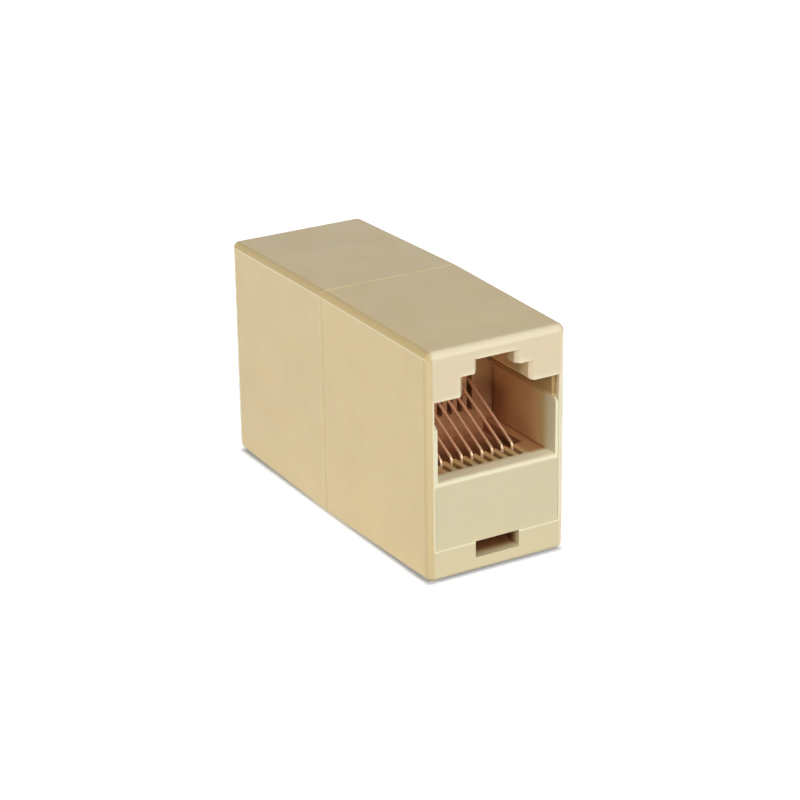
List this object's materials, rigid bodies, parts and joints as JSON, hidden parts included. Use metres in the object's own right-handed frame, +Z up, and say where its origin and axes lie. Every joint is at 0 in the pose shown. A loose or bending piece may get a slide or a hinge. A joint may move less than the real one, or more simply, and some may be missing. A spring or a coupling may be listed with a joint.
{
  "type": "inline coupler",
  "caption": "Straight inline coupler: a split moulded housing with a modular plug socket, latch keyway and comb of spring contacts at each end, wired straight through.",
  "frame": {"origin": "on the standing surface, under the middle of the seam", "axes": "+Z up towards the latch side, +Y along the coupler from the front mouth to the rear mouth, +X to the right seen from the front"},
  "size_m": [0.014, 0.035, 0.0211],
  "materials": {
    "housing": "satin ivory moulded plastic",
    "carrier": "satin ivory moulded plastic",
    "contact": "gold-flashed spring wire",
    "lead_blue": "blue insulation",
    "lead_orange": "orange insulation",
    "lead_black": "black insulation",
    "lead_red": "red insulation",
    "lead_green": "green insulation",
    "lead_yellow": "yellow insulation",
    "lead_brown": "brown insulation",
    "lead_grey": "grey insulation"
  },
  "bodies": {
    "root": {"front_shell": "housing", "front_carrier": "carrier", "rear_shell": "housing", "rear_carrier": "carrier", "front_contact_1": "contact", "front_contact_2": "contact", "front_contact_3": "contact", "front_contact_4": "contact", "front_contact_5": "contact", "front_contact_6": "contact", "front_contact_7": "contact", "front_contact_8": "contact", "rear_contact_1": "contact", "rear_contact_2": "contact", "rear_contact_3": "contact", "rear_contact_4": "contact", "rear_contact_5": "contact", "rear_contact_6": "contact", "rear_contact_7": "contact", "rear_contact_8": "contact", "lead_1": "lead_blue", "lead_2": "lead_orange", "lead_3": "lead_black", "lead_4": "lead_red", "lead_5": "lead_green", "lead_6": "lead_yellow", "lead_7": "lead_brown", "lead_8": "lead_grey"}
  },
  "joints": []
}
